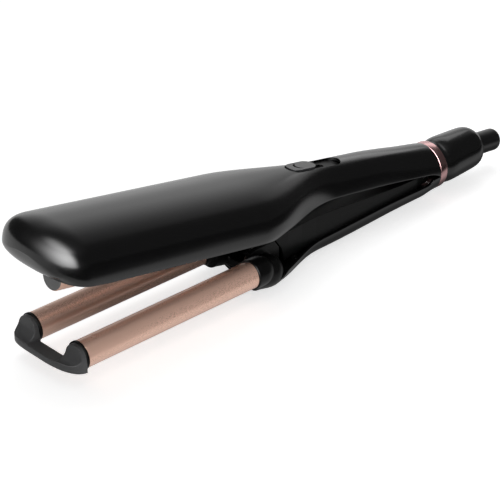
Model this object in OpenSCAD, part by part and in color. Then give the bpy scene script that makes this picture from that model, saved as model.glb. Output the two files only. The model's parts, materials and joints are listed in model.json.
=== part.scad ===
// Hair waver: two heated barrels on the lower arm and one below the upper arm's hood.
// The arms swing open on a sprung hinge near the cord end. Millimetres, +Z up, +X towards the cord.
// x = 0 is the front end of the lower barrels, z = 0 is their axes' height until the last placing.

/* [Barrels] */
// Outer diameter of each heated barrel
barrel_d = 15; // [14:0.25:16]
// Free length of the lower barrels, in front of their sockets
barrel_l = 115; // [95:1:135]
// Distance between the axes of the two lower barrels
barrel_pitch = 37.5; // [36.5:0.25:39]
// Wall of the barrel tubes
barrel_wall = 1; // [0.8:0.1:1.4]
// Depth of the barrels in their sockets
socket_depth = 10; // [8:0.5:11]
// How far the upper barrel's axis lies below the lower ones when the jaws are closed
wave_depth = 8.6; // [7.5:0.1:9.5]

/* [Jaws] */
// Opening angle at rest
jaw_open = 9.8; // [8:0.1:11]
// Distance from the sockets' front to the hinge axis
handle_l = 150; // [135:1:170]
// Height of the hinge axis
hinge_z = 2.8; // [2:0.1:3.5]
// Diameter of the hinge pin
pin_d = 3; // [2.5:0.1:3.5]
// Radial running clearance of pins and bearings
run_gap = 0.06; // [0.03:0.01:0.1]

/* [Upper arm] */
// Half width of the head
head_half = 30.6; // [29.5:0.1:33]
// Height of the head's crown
head_top = 21.6; // [20.5:0.1:24]
// How far the nose reaches ahead of the barrels
nose_reach = 22.4; // [21:0.1:24]
// Length of the nose's rounding
nose_l = 19.6; // [17:0.1:22]
// Height of the nose's foremost point
nose_z = 8.6; // [7.5:0.1:9.5]
// Height of the head's widest level
waist_z = 4.8; // [4:0.1:6]
// Depth of the head's lower rim below the barrels' axes
rim_drop = 2.8; // [2:0.1:3.5]
// Half width of the upper handle behind its taper
handle_half = 13.2; // [12.8:0.1:14]
// Rise of the handle's crown above the head's
handle_rise = 0.3; // [0:0.1:1.5]
// Length of the taper from head to handle
taper_l = 70; // [60:1:80]
// Wall of the upper cover
cover_wall = 1.6; // [1.2:0.1:1.8]

/* [Lower arm] */
// Half width of the shell at the fork
fork_half = 28; // [27:0.25:29]
// Depth of the shell's bottom below the barrels' axes at the fork
heel_depth = 15.8; // [15.5:0.1:18]
// Depth of the shell's bottom at mid handle
belly_depth = 15.2; // [14:0.1:15.5]
// Wall of the lower shell
shell_wall = 1.8; // [1.4:0.1:2.2]
// Radius of a socket at its front
socket_r = 8.4; // [8.3:0.1:9]
// Largest radius of the fork's arm behind a socket
arm_r = 9.2; // [8.6:0.1:9.4]
// Height of the guard walls' top at the front
guard_top = 10.5; // [9:0.25:10.75]
// Gap between fixed pieces
seat_gap = 0.15; // [0.1:0.05:0.3]

/* [Cool tip] */
// Thickness of the tip's plate
tip_t = 3.9; // [3:0.1:5]
// Height of the plate's top below the barrels' axes
tip_drop = 2.8; // [2:0.1:3.5]
// How far the tip reaches ahead of the barrels
tip_reach = 11; // [9.5:0.5:13]
// Half width of the tip's plate
tip_half = 26.3; // [25:0.1:27]
// Thickness of the insulating washers at the barrels' ends
washer_t = 1.5; // [1:0.1:2]

/* [Switch] */
// Distance from the sockets' front to the front end of the switch's well
well_start = 41; // [38:1:50]
// Length of the well
well_l = 40; // [36:1:44]
// Width of the well
well_w = 10.6; // [9:0.1:11.5]
// Depth of the well below the crown
well_depth = 2.2; // [1.8:0.1:2.6]
// Length of the sliding button
button_l = 19; // [16:0.5:22]
// Travel of the sliding button
switch_travel = 13; // [9:0.5:14]

/* [Cord end] */
// Outer radius of the trim ring
ring_r = 14.3; // [14:0.1:15]
// Width of the trim ring
ring_w = 5.5; // [4:0.1:7]
// Distance from the hinge axis to the trim ring
ring_start = 8; // [7:0.5:10]
// Height of the ring's and the housing's axis
ring_z = 3.3; // [3:0.1:4]
// Length of the rear housing behind the ring
housing_l = 37.5; // [34:0.5:42]
// Radius of the cord sleeve
sleeve_r = 6.75; // [6.2:0.05:7]
// Length of the cord sleeve behind its pivot
sleeve_l = 27; // [24:0.5:32]
// Droop of the cord sleeve at rest
sleeve_droop = 6; // [0:0.5:7]
// Largest tilt of the sleeve to either side of the housing's axis
sleeve_tilt = 8; // [7:0.5:9]
// Radius of the cord's inlet
inlet_r = 3.2; // [2.5:0.1:3.8]

/* [Hidden] */
$fn = 72;

black = "#161618";
dark = "#262628";
rose = "#c39a88";

barrel_r = barrel_d / 2;
lower_y = barrel_pitch / 2;
hinge_x = barrel_l + handle_l;
ring_x = hinge_x + ring_start;
far = 400;
slip = 0.3;                     // gap between pieces that move past each other
fixed_gap = 0.015;              // radial gap of pins and screws that are held fast
section_points = 40;
nose_wide = 2.28;               // exponents of the nose's rounding in plan and in side view
nose_tall = 2.47;
chin_l = 7;                     // from the nose's foremost point back to its rim
rim_rise = 1.4;                 // the rim runs higher at the nose
head_power = 2.5;               // exponents of the superellipse sections
handle_power = 2.35;
shell_power = 2;
head_under = 20;                // depth of the head's section below its widest level
taper_start = barrel_l;
handle_drop_start = barrel_l + 97;

function clamp(t) = max(0, min(1, t));
function smooth(t) = let (u = clamp(t)) u * u * (3 - 2 * u);
function mix(a, b, t) = a + (b - a) * t;
function blend(x, x0, x1) = smooth((x - x0) / (x1 - x0));

// A superellipse about (0, zc) in the plane at x, with its own height above and below zc
function section(x, w, zc, up, down, power) = [
    for (i = [0 : section_points - 1])
        let (t = 360 * i / section_points, c = cos(t), s = sin(t))
            [x, -w * sign(c) * pow(abs(c), 2 / power), zc + (s > 0 ? up : -down) * pow(abs(s), 2 / power)]
];

// A closed skin over rings of points that lie one behind the other along +X
module skin(rings) {
    n = len(rings[0]);
    m = len(rings);
    sides = [
        for (i = [0 : m - 2], j = [0 : n - 1])
            let (a = i * n + j, b = i * n + (j + 1) % n)
                each [[a, b, b + n], [a, b + n, a + n]]
    ];
    front = [[for (j = [n - 1 : -1 : 0]) j]];
    back = [[for (j = [0 : n - 1]) (m - 1) * n + j]];
    polyhedron(points = [for (r = rings) each r], faces = concat(front, sides, back), convexity = 8);
}

// Turns the upper arm about the hinge; positive opens the jaws
module swing(angle) {
    translate([hinge_x, 0, hinge_z]) rotate([0, angle, 0]) translate([-hinge_x, 0, -hinge_z]) children();
}

// Extrudes a side profile, drawn as x and z, between -w and w
module across(w) {
    rotate([90, 0, 0]) linear_extrude(height = 2 * w, center = true) children();
}

// Turns a profile, drawn as radius and x, about an axis along X at (y, z)
module turned(y, z) {
    translate([0, y, z]) rotate([0, 90, 0]) rotate_extrude() children();
}

module rod(x0, x1, r, y, z) {
    translate([x0, y, z]) rotate([0, 90, 0]) cylinder(h = x1 - x0, r = r);
}

module cross_rod(x, z, y0, y1, r) {
    translate([x, y1, z]) rotate([90, 0, 0]) cylinder(h = y1 - y0, r = r);
}

// ---------------------------------------------------------------- upper arm, drawn closed

ring_top = ring_z + ring_r;
rim_z = -rim_drop;
nose_rim = rim_z + rim_rise;
cover_end_x = ring_x - slip;
// The crown meets the ring when the jaws are open, so it ends higher when they are closed
crown_end = hinge_z + (ring_top - hinge_z) * cos(jaw_open) + (cover_end_x - hinge_x) * sin(jaw_open);

function nose_s(x, inset) = clamp((nose_l - nose_reach + inset - x) / nose_l);
function nose_in(x, inset, power) = pow(1 - pow(nose_s(x, inset), power), 1 / power);
function cover_half(x) =
    mix(mix(head_half, handle_half, blend(x, taper_start, taper_start + taper_l)), ring_r,
        blend(x, hinge_x - 40, hinge_x + 5));
function crown(x) =
    mix(head_top + handle_rise * blend(x, barrel_l, barrel_l + 40), crown_end,
        blend(x, handle_drop_start, hinge_x + 21));
function waist(x) = mix(waist_z, ring_z, blend(x, taper_start, taper_start + taper_l));
function under(x) = mix(head_under, ring_r, blend(x, barrel_l - 5, barrel_l + 25));
// Depth of the section below its widest level z: it curves down to the rim along the chin, then falls away
function chin(x, z, inset) =
    let (d = clamp((x + nose_reach - inset) / chin_l), low = mix(nose_z, nose_rim, pow(1 - pow(1 - d, 1.8), 0.87)))
        max(0.01, min(z - low + max(0, x + nose_reach - inset - chin_l), under(x)));
function cover_power(x) = mix(head_power, mix(handle_power, 2, blend(x, hinge_x - 60, hinge_x)),
                              blend(x, taper_start, taper_start + taper_l));

function cover_section(x, inset) =
    let (tall = nose_in(x, inset, nose_tall), wide = nose_in(x, inset, nose_wide), zw = waist(x),
         zc = mix(nose_z, zw, tall))
        section(x, (cover_half(x) - inset) * wide, zc, (crown(x) - zw - inset) * tall, chin(x, zc, inset),
                cover_power(x));

// Half width inside the cover at height z
function hood_half(x, z) =
    let (tall = nose_in(x, cover_wall, nose_tall), zc = mix(nose_z, waist(x), tall), p = cover_power(x),
         up = (crown(x) - waist(x) - cover_wall) * tall)
        (cover_half(x) - cover_wall) * nose_in(x, cover_wall, nose_wide)
            * pow(1 - pow(clamp((z - zc) / up), p), 1 / p);

function nose_stations(inset) = concat(
    [for (i = [1 : 6]) inset - nose_reach + chin_l * (1 - cos(i * 15))],
    [for (i = [1 : 4]) inset - nose_reach + mix(chin_l, nose_l, i / 4)]
);
function cover_stations(inset) = concat(
    nose_stations(inset),
    [for (i = [0 : 3]) mix(4, barrel_l - 6, i / 3)],
    [for (i = [0 : 12]) mix(barrel_l, taper_start + taper_l, i / 12)],
    [for (i = [1 : 7]) mix(taper_start + taper_l, ring_x + 8, i / 7)]
);

// Lower edge of the cover in side view, from the nose to the slit at the ring
corner_x = barrel_l + 8;
edge_line = [
    [-far / 2, nose_rim], [-nose_reach + chin_l, nose_rim], [0, mix(nose_rim, rim_z, 0.6)], [12, rim_z], [corner_x, rim_z], [corner_x + 2, rim_z + 0.5], [corner_x + 5, rim_z + 1.6], [corner_x + 12, rim_z + 3.2],
    [corner_x + 26, rim_z + 5.2], [corner_x + 45, rim_z + 6.9], [corner_x + 75, rim_z + 8.2],
    [hinge_x - 18, rim_z + 8.7], [hinge_x - 7, rim_z + 8.6], [hinge_x - 2, rim_z + 7.8],
    [hinge_x + 2, rim_z + 6.8], [hinge_x + 4, rim_z + 6.4]
];

module below_edge() {
    across(far / 2)
        polygon(concat(edge_line, [[far, rim_z + 6.4], [far, -far / 2], [-far / 2, -far / 2]]));
}

// The switch sits on the crown, which falls slightly towards the hinge
well_x = barrel_l + well_start;
well_mid = well_x + well_l / 2;
crown_tilt = atan((crown(well_x) - crown(well_x + well_l)) / well_l);

module on_crown() {
    translate([well_mid, 0, crown(well_mid)]) rotate([0, crown_tilt, 0]) children();
}

// A slot with round ends, from x0 to x1, z0 to z1
module slot(x0, x1, w, z0, z1) {
    translate([0, 0, z0])
        linear_extrude(height = z1 - z0)
            union() {
                translate([x0 + w / 2, -w / 2]) square([x1 - x0 - w, w]);
                translate([x0 + w / 2, 0]) circle(d = w);
                translate([x1 - w / 2, 0]) circle(d = w);
            }
}

// Screws with round heads; z is the level of the head's flat side and side says where the head is
screw_r = 1.2;
screw_head_r = 2.3;
screw_head_t = 1.4;
screw_l = 6;
boss_r = 3;
module screw(x, z, side) {
    translate([x, 0, z])
        mirror([0, 0, side > 0 ? 0 : 1]) {
            translate([0, 0, -screw_l]) cylinder(h = screw_l, r = screw_r);
            cylinder(h = screw_head_t, r = screw_head_r);
        }
}

// Bosses inside the cover, from the level z up into the crown's wall
module cover_boss(x, z) {
    difference() {
        translate([x, 0, z]) cylinder(h = crown(x) - cover_wall / 2 - z, r = boss_r);
        translate([x, 0, z - 1]) cylinder(h = screw_l + 1, r = screw_r + fixed_gap);
    }
}

// The tray closes the hood from below: a ceiling above the lower barrels and a rib down to the upper one
tray_x0 = -6;
tray_x1 = barrel_l + 4;
tray_z = barrel_r + 1.7;
tray_t = 1.6;
rib_half = 6.2;
rib_start = 0.6;                // from the upper barrel's front end to the rib
clamp_l = 10;
tray_screws = [barrel_l * 0.06, barrel_l * 0.5, barrel_l * 0.88];
inner_z = 11.6;
inner_t = 1.3;
inner_x0 = barrel_l + 6;
inner_x1 = hinge_x - 6;
inner_screws = [barrel_l + 28, hinge_x - 34];

// A plate at height z that fills the cover from wall to wall
module hood_plate(x0, x1, z, t, steps) {
    edge = [for (i = [0 : steps]) let (x = mix(x0, x1, i / steps)) [x, hood_half(x, z + t) - seat_gap]];
    translate([0, 0, z])
        linear_extrude(height = t)
            polygon(concat(edge, [for (i = [steps : -1 : 0]) [edge[i][0], -edge[i][1]]]));
}

module head_cover() {
    color(black)
        difference() {
            union() {
                difference() {
                    skin([for (x = cover_stations(0)) cover_section(x, 0)]);
                    skin([for (x = concat(cover_stations(cover_wall), [ring_x + 12]))
                              cover_section(x, cover_wall)]);
                }
                for (x = tray_screws) cover_boss(x, tray_z + tray_t);
                for (x = inner_screws) cover_boss(x, inner_z + inner_t);
            }
            below_edge();
            swing(-jaw_open) translate([cover_end_x, -far / 2, -far / 2]) cube([far, far, far]);
            on_crown() slot(-well_l / 2, well_l / 2, well_w, -2 * well_depth, 2 * well_depth);
        }
}

module head_tray() {
    color(dark)
        difference() {
            union() {
                hood_plate(tray_x0, tray_x1, tray_z, tray_t, 8);
                translate([upper_barrel_x0 + rib_start, -rib_half, -wave_depth])
                    cube([barrel_l - clamp_l / 2 - upper_barrel_x0 - rib_start, 2 * rib_half,
                          tray_z + wave_depth + tray_t / 2]);
            }
            rod(upper_barrel_x0 - 1, tray_x1 + 1, barrel_r + seat_gap, 0, -wave_depth);
            for (x = tray_screws) {
                translate([x, 0, -wave_depth]) cylinder(h = 2 * far, r = screw_r + run_gap);
                translate([x, 0, tray_z - 2 * far]) cylinder(h = 2 * far, r = screw_head_r + slip);
            }
        }
}

// Heated tubes, each held to its heater by two shallow stakes
upper_barrel_x0 = -2.2;
upper_barrel_x1 = barrel_l + 3;
stake_r = 1.5;
stake_depth = 0.35;
stake_inset = 9;
bore_r = barrel_r - barrel_wall;

// side is 1 where the stakes are in the tube's top and -1 in its bottom
module tube(x0, x1, y, z, side) {
    difference() {
        rod(x0, x1, barrel_r, y, z);
        rod(x0 - 1, x1 + 1, bore_r, y, z);
        for (x = [stake_inset, barrel_l - stake_inset])
            translate([x, y, z + side * (barrel_r + stake_r - stake_depth)]) sphere(r = stake_r);
    }
}

module upper_barrel() {
    color(rose) tube(upper_barrel_x0, upper_barrel_x1, 0, -wave_depth, -1);
}

module near_barrel() {
    color(rose) tube(0, barrel_l + socket_depth, -lower_y, 0, 1);
}

module far_barrel() {
    color(rose) tube(0, barrel_l + socket_depth, lower_y, 0, 1);
}

// A flat heater that touches the tube with its long edges
heater_t = 3;
heater_end_gap = 12;
module heater(y, z) {
    w = 2 * sqrt(pow(bore_r - seat_gap, 2) - pow(heater_t / 2, 2));
    color("#b0aba4")
        translate([heater_end_gap, y - w / 2, z - heater_t / 2]) cube([barrel_l - 2 * heater_end_gap, w, heater_t]);
}

module upper_heater() { heater(0, -wave_depth); }
module near_heater() { heater(-lower_y, 0); }
module far_heater() { heater(lower_y, 0); }

cap_plug = 4;
cap_t = 0.5;
module upper_barrel_cap() {
    color(dark)
        union() {
            rod(upper_barrel_x0 - cap_t, upper_barrel_x0, barrel_r - 0.4, 0, -wave_depth);
            rod(upper_barrel_x0, upper_barrel_x0 + cap_plug, bore_r - seat_gap, 0, -wave_depth);
        }
}

// Carries the upper barrel's rear end below the tray
module upper_barrel_clamp() {
    color(dark)
        difference() {
            union() {
                rod(barrel_l - clamp_l / 2, barrel_l + clamp_l / 2, barrel_r + 1.3, 0, -wave_depth);
                translate([barrel_l - clamp_l / 2, -rib_half, -wave_depth])
                    cube([clamp_l, 2 * rib_half, tray_z + wave_depth]);
            }
            rod(barrel_l - clamp_l, upper_barrel_x1 + seat_gap, barrel_r + seat_gap, 0, -wave_depth);
        }
}

module upper_inner_cover() {
    color(dark)
        difference() {
            hood_plate(inner_x0, inner_x1, inner_z, inner_t, 16);
            for (x = inner_screws) translate([x, 0, 0]) cylinder(h = far, r = screw_r + run_gap);
        }
}

module cover_screws() {
    color("silver") {
        for (x = tray_screws) screw(x, tray_z, -1);
        for (x = inner_screws) screw(x, inner_z, -1);
    }
}

// Electronics on the inner cover: the board on two strips, with the slide switch on it
board_x0 = barrel_l + 34;
board_l = 62;
board_w = 13;
board_t = 1.1;
board_z = inner_z + inner_t + 0.6;
module circuit_board() {
    color("#2f5d3a")
        union() {
            translate([board_x0, -board_w / 2, board_z]) cube([board_l, board_w, board_t]);
            for (x = [board_x0 + 2, board_x0 + board_l - 5])
                translate([x, -board_w / 2, inner_z + inner_t]) cube([3, board_w, board_z - inner_z - inner_t]);
        }
}

// The well is a tub under the cover's slot; the button slides in it over a narrower slot
guide_t = 2.7;
guide_flange = 1.2;
guide_flange_t = 0.9;
stem_w = 3;
stem_l = 6;
stem_reach = 0.3;
button_w = well_w - 2 * slip;
button_start = 1;
guide_floor = -well_depth;
module switch_guide() {
    stem_x0 = -well_l / 2 + button_start + button_l / 2 - stem_l / 2 - slip;
    color(dark)
        on_crown()
            difference() {
                union() {
                    slot(-well_l / 2 + seat_gap, well_l / 2 - seat_gap, well_w - 2 * seat_gap,
                         guide_floor - guide_t, guide_floor);
                    slot(-well_l / 2 - guide_flange, well_l / 2 + guide_flange, well_w + 2 * guide_flange,
                         guide_floor - guide_t, guide_floor - guide_t + guide_flange_t);
                }
                slot(stem_x0 - stem_w / 2, stem_x0 + stem_l + switch_travel + 2 * slip + stem_w / 2,
                     stem_w + 2 * slip, guide_floor - 2 * guide_t, 1);
            }
}

switch_top = board_z + board_t;
module switch_button() {
    x0 = -well_l / 2 + button_start;
    stem_x0 = x0 + button_l / 2 - stem_l / 2;
    color("#3a3a3c")
        on_crown()
            difference() {
                union() {
                    slot(x0, x0 + button_l, button_w, guide_floor + slip, 0.5);
                    translate([stem_x0, -stem_w / 2, guide_floor - guide_t - stem_reach])
                        cube([stem_l, stem_w, guide_t + stem_reach + 2 * slip]);
                }
                // Crescent for the thumb
                difference() {
                    translate([x0 + button_l * 0.42, 0, 1.6]) sphere(r = 3.6);
                    translate([x0 + button_l * 0.42 + 1.4, 0, 1.6]) sphere(r = 3.6);
                }
            }
}

module slide_switch() {
    body_x = well_mid - well_l / 2 + button_start + button_l / 2;
    body_l = stem_l + switch_travel + 4;
    top = crown(well_mid) - well_depth - guide_t - stem_reach - slip;
    color("#8c8f94")
        translate([body_x - stem_l / 2 - 2, -3, switch_top]) cube([body_l, 6, top - switch_top]);
}

// Two lugs on the upper arm's inner cover, inside the lower arm's ears
lug_r = pin_d / 2 + 3;
lug_in = 3.5;
lug_out = 5.7;
ear_in = lug_out + slip;
ear_out = ear_in + 2;
module lug_profile() {
    union() {
        translate([hinge_x, hinge_z]) circle(r = lug_r);
        polygon([[hinge_x - lug_r, hinge_z], [hinge_x - 17, inner_z - 2], [hinge_x - 17, inner_z],
                 [inner_x1 - 1, inner_z], [hinge_x + lug_r * 0.7, hinge_z + lug_r * 0.7]]);
    }
}

module hinge_block() {
    color(dark)
        difference() {
            union() {
                for (side = [-1, 1])
                    translate([0, side * (lug_in + lug_out) / 2, 0]) across((lug_out - lug_in) / 2) lug_profile();
                translate([hinge_x - 17, -lug_out, inner_z - 2]) cube([9, 2 * lug_out, 2]);
            }
            cross_rod(hinge_x, hinge_z, -far, far, pin_d / 2 + run_gap);
        }
}

// ---------------------------------------------------------------- lower arm

shell_front = barrel_l + 13;
slit_z = 1.5;
function shell_half(x) =
    mix(mix(fork_half, handle_half, blend(x, barrel_l + 7, barrel_l + 63)), ring_r,
        blend(x, hinge_x - 40, hinge_x + 5));
function shell_mid(x) = mix(mix(-3.4, -4, blend(x, barrel_l + 15, barrel_l + 35)),
                            mix(-1.1, ring_z, blend(x, hinge_x - 6, ring_x)),
                            blend(x, barrel_l + 40, hinge_x - 5));
function shell_bottom(x) = -mix(mix(heel_depth, belly_depth, blend(x, barrel_l + 15, barrel_l + 40)),
                                ring_r - ring_z, blend(x, barrel_l + 65, ring_x + 10));
function shell_section(x, inset) =
    section(x, shell_half(x) - inset, shell_mid(x), ring_r, shell_mid(x) - shell_bottom(x) - inset, shell_power);
function shell_stations(x0, x1) = concat(
    [for (i = [0 : 14]) mix(x0, barrel_l + 65, i / 14)],
    [for (i = [1 : 6]) mix(barrel_l + 65, hinge_x - 10, i / 6)],
    [for (i = [1 : 6]) mix(hinge_x - 10, x1, i / 6)]
);
// Upper rim of the shell in side view, with the step up to the slit at the ring
rim_line = concat(
    [[barrel_l + 12, -20], [barrel_l + 15.5, -9], [barrel_l + 19, -5.5], [barrel_l + 24, shell_mid(barrel_l + 24)]],
    [for (i = [1 : 8]) let (x = mix(barrel_l + 24, hinge_x - 4, i / 8)) [x, shell_mid(x)]],
    [[hinge_x - 1, -0.4], [hinge_x + 0.6, 0.4], [hinge_x + 1.6, slit_z], [far, slit_z]]
);

// A socket is a collar round its barrel; the fork's arm behind it lies lower and further inwards,
// so that the hood closes over both
arm_y = lower_y - 1.5;
arm_z = -3.2;
arm_l = 9;
collar_l = 12;
collar_round = 0.8;
dome_x = barrel_l + 14;

// Radius and x of a form that is round from x0 on and ends in a dome of length l behind x1
function domed(x0, x1, l, r0, r1) = concat(
    [[0, x0], [r0 - collar_round, x0], [r0 - collar_round * 0.3, x0 + collar_round * 0.3]],
    [for (i = [0 : 5]) let (x = mix(x0 + collar_round, x1, i / 5)) [mix(r0, r1, blend(x, x0, x1)), x]],
    [for (i = [1 : 9]) [r1 * cos(i * 10), x1 + l * sin(i * 10)]]
);

module socket_form(side, grow) {
    turned(side * lower_y, 0)
        polygon(domed(barrel_l - grow, barrel_l + collar_l / 2, collar_l / 2 + grow, socket_r + grow, socket_r + grow));
    turned(side * arm_y, arm_z)
        polygon(domed(barrel_l + 2 - grow, dome_x, arm_l + grow, arm_r - 1.6 + grow, arm_r + grow));
}

module lower_shell() {
    color(black)
        difference() {
            skin([for (x = shell_stations(shell_front, ring_x)) shell_section(x, 0)]);
            skin([for (x = shell_stations(shell_front - 3, ring_x - 2)) shell_section(x, shell_wall)]);
            across(far / 2) polygon(concat(rim_line, [[far, far], [-far, far], [-far, -20]]));
            for (side = [-1, 1]) socket_form(side, seat_gap);
            for (x = shell_screw_x) translate([x, 0, -far]) cylinder(h = far, r = screw_head_r + slip);
        }
}

// Sockets, the web between them, cheeks that reach forward on their inner sides and shoulders behind them
web_x0 = barrel_l + 10;
web_x1 = barrel_l + 19;
web_z = -9;
web_t = 5;
cheek_l = 4;
shoulder_in = 9.5;
shoulder_out = 13;
module cheek(side) {
    intersection() {
        rod(barrel_l - cheek_l, barrel_l + 2, socket_r, side * lower_y, 0);
        translate([0, 0, -far / 2])
            linear_extrude(height = far)
                polygon([[barrel_l + 2, side * lower_y], [barrel_l, side * lower_y],
                         [barrel_l - cheek_l, side * (lower_y - socket_r)], [barrel_l + 2, side * (lower_y - socket_r)]]);
    }
}

module shoulder(side) {
    b = barrel_l;
    translate([0, side * (shoulder_in + shoulder_out) / 2, 0])
        across((shoulder_out - shoulder_in) / 2)
            polygon([[b + 4, -4], [b + 4.5, 5.6], [b + 6, 7], [b + 8.5, 8.2], [b + 12, 9.2], [b + 17, 9.9],
                     [guard_x0 - slip, guard_top - slip], [guard_x0 + 4, 4], [guard_x0 + 4, -6], [b + 8, -6]]);
}

module barrel_fork() {
    color(dark)
        difference() {
            union() {
                for (side = [-1, 1]) {
                    socket_form(side, 0);
                    cheek(side);
                    shoulder(side);
                }
                translate([web_x0, -arm_y, web_z]) cube([web_x1 - web_x0, 2 * arm_y, web_t]);
            }
            for (side = [-1, 1])
                rod(barrel_l - cheek_l - 1, barrel_l + socket_depth, barrel_r, side * lower_y, 0);
        }
}

// Guard walls that rise into the upper arm's hollow, the lid between them and the hinge ears
guard_half = handle_half - cover_wall - 0.9;
guard_front_half = 13;
guard_t = 1.5;
guard_x0 = barrel_l + 24;
guard_x1 = hinge_x - 9;
guard_rear_top = 5.2;
guard_under = 2.5;
lid_z = 3.4;
lid_t = 1.5;
shell_screw_x = [barrel_l + 52, hinge_x - 42];
function guard_y(x) = mix(guard_front_half, guard_half, blend(x, guard_x0, barrel_l + 56));
function guard_level(x) = mix(guard_top, guard_rear_top, blend(x, barrel_l + 50, guard_x1));
guard_steps = 10;
guard_plan = [for (i = [0 : guard_steps]) let (x = mix(guard_x0 - 1, guard_x1, i / guard_steps)) [x, guard_y(x)]];

module guard_outline(inset) {
    polygon(concat([for (p = guard_plan) [p[0], p[1] - inset]],
                   [for (i = [guard_steps : -1 : 0]) [guard_plan[i][0], inset - guard_plan[i][1]]]));
}

module lower_inner_cover() {
    color(dark)
        difference() {
            union() {
                intersection() {
                    translate([0, 0, -20])
                        linear_extrude(height = 60)
                            difference() {
                                guard_outline(0);
                                guard_outline(guard_t);
                            }
                    across(far / 2)
                        polygon(concat(
                            [[guard_x0 + 8, -3.4 - guard_under], [guard_x0 + 5.5, 3], [guard_x0, guard_top]],
                            [for (i = [1 : 8]) let (x = mix(guard_x0, guard_x1, i / 8)) [x, guard_level(x)]],
                            [[guard_x1, -1.6 - guard_under]]));
                }
                intersection() {
                    translate([0, 0, lid_z]) linear_extrude(height = lid_t) guard_outline(guard_t / 2);
                    translate([guard_x0 + 7, -far / 2, -far / 2]) cube([guard_x1 - guard_x0 - 7, far, far]);
                }
                translate([guard_x1 - guard_t, -guard_half, -1.6 - guard_under])
                    cube([guard_t, 2 * guard_half, guard_rear_top + 1.6 + guard_under]);
                for (side = [-1, 1])
                    translate([0, side * (ear_in + ear_out) / 2, 0]) across((ear_out - ear_in) / 2) ear_profile();
                for (x = shell_screw_x)
                    translate([x, 0, shell_bottom(x) + shell_wall + 0.5])
                        cylinder(h = lid_z - shell_bottom(x) - shell_wall, r = boss_r);
            }
            cross_rod(hinge_x, hinge_z, -far, far, pin_d / 2 + fixed_gap);
            for (x = shell_screw_x)
                translate([x, 0, shell_bottom(x)])
                    cylinder(h = shell_wall + screw_l + slip, r = screw_r + fixed_gap);
        }
}

module ear_profile() {
    union() {
        translate([hinge_x, hinge_z]) circle(r = lug_r);
        polygon([[hinge_x, hinge_z + lug_r], [guard_x1 - guard_t, guard_rear_top], [guard_x1 - guard_t, -1.6 - guard_under],
                 [hinge_x, hinge_z - lug_r]]);
    }
}

module hinge_pin() {
    color("silver") cross_rod(hinge_x, hinge_z, -ear_out, ear_out, pin_d / 2);
}

// Torsion spring round the pin, wound from the upper lugs to the lid
spring_wire = 1.1;
spring_r = pin_d / 2 + 1.1;
spring_turns = 4;
spring_pitch = 1.35;
spring_ring = 6;
spring_steps = 12;
spring_up = 60;                 // direction of the leg below the inner cover
function spring_centre(k) =
    let (turn = k / spring_steps, a = 180 - spring_up - 360 * turn)
        [hinge_x + spring_r * cos(a), (turn - spring_turns / 2) * spring_pitch, hinge_z + spring_r * sin(a), a];
function spring_rings() = [
    for (k = [0 : spring_turns * spring_steps])
        let (c = spring_centre(k))
            [for (j = [0 : spring_ring - 1])
                let (t = 360 * j / spring_ring, out = spring_wire / 2 * cos(t))
                    [c[0] + out * cos(c[3]), c[1] + spring_wire / 2 * sin(t), c[2] + out * sin(c[3])]]
];

module hinge_spring() {
    color("gray") skin(spring_rings());
}

module shell_screws() {
    color("silver") for (x = shell_screw_x) screw(x, shell_bottom(x) + shell_wall, -1);
}

// ---------------------------------------------------------------- cool tip

lobe_r = barrel_r - 0.2;
lobe_wall = 1.8;                // thickness of a lobe where its scoop is deepest
lobe_l = 8;
scoop_r = 6.5;
scoop_x = -washer_t - lobe_wall - scoop_r;
spigot_l = 9;
tip_waist = 3.6;                // from the plate's inner edge to the barrels' front ends
tip_power = 2.8;
tip_points = 24;

tip_outline = [
    for (i = [0 : tip_points])
        let (t = -90 + 180 * i / tip_points)
            [-tip_reach * pow(cos(t), 2 / tip_power), tip_half * sign(t) * pow(abs(sin(t)), 2 / tip_power)]
];

module tip_plate() {
    translate([0, 0, -tip_drop - tip_t])
        linear_extrude(height = tip_t)
            difference() {
                polygon(tip_outline);
                translate([-washer_t, -far / 2]) square([far, far]);
                translate([-tip_waist, lobe_r - lower_y]) square([far, barrel_pitch - 2 * lobe_r]);
            }
}

module tip_bridge() {
    color(dark)
        union() {
            tip_plate();
            for (side = [-1, 1]) {
                difference() {
                    intersection() {
                        rod(-lobe_l, -washer_t, lobe_r, side * lower_y, 0);
                        translate([0, 0, -far / 2]) linear_extrude(height = far) polygon(tip_outline);
                    }
                    across(far / 2) translate([scoop_x, scoop_r - tip_drop]) circle(r = scoop_r);
                }
                rod(-washer_t, spigot_l, bore_r - seat_gap, side * lower_y, 0);
            }
        }
}

module tip_washers() {
    color("#0c0c0d")
        for (side = [-1, 1])
            difference() {
                rod(-washer_t, 0, barrel_r + 0.35, side * lower_y, 0);
                rod(-washer_t - 1, 1, bore_r, side * lower_y, 0);
            }
}

// ---------------------------------------------------------------- cord end

ring_back = ring_x + ring_w;
house_end = ring_back + housing_l;
pivot_x = house_end - 6;
pivot_z = ring_z;
carrier_r = 9.2;
carrier_end = house_end - 0.6;
carrier_x0 = pivot_x - 11;
hub_r = 5.8;
sleeve_front = 5.4;
sleeve_round = 3;
mouth_r = sleeve_r + (sleeve_front + slip) * tan(sleeve_tilt) + 2 * slip;
spigot_r = ring_r - 1.8;

// Outer outline of the housing as radius and distance behind the ring
house_drawn_l = 37.5;
house_outline = [
    [ring_r - 1.6, 0], [ring_r - 1.8, 1.2], [ring_r - 1.6, 3], [ring_r - 1.0, 5], [ring_r - 0.5, 7.5],
    [ring_r - 0.35, 10], [ring_r - 0.5, 15], [ring_r - 0.8, 21], [ring_r - 1.1, 27], [ring_r - 1.4, 31],
    [ring_r - 1.9, 33.5], [ring_r - 2.8, 35.4], [ring_r - 3.8, 36.7], [ring_r - 4.8, house_drawn_l]
];
house_scale = housing_l / house_drawn_l;

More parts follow.
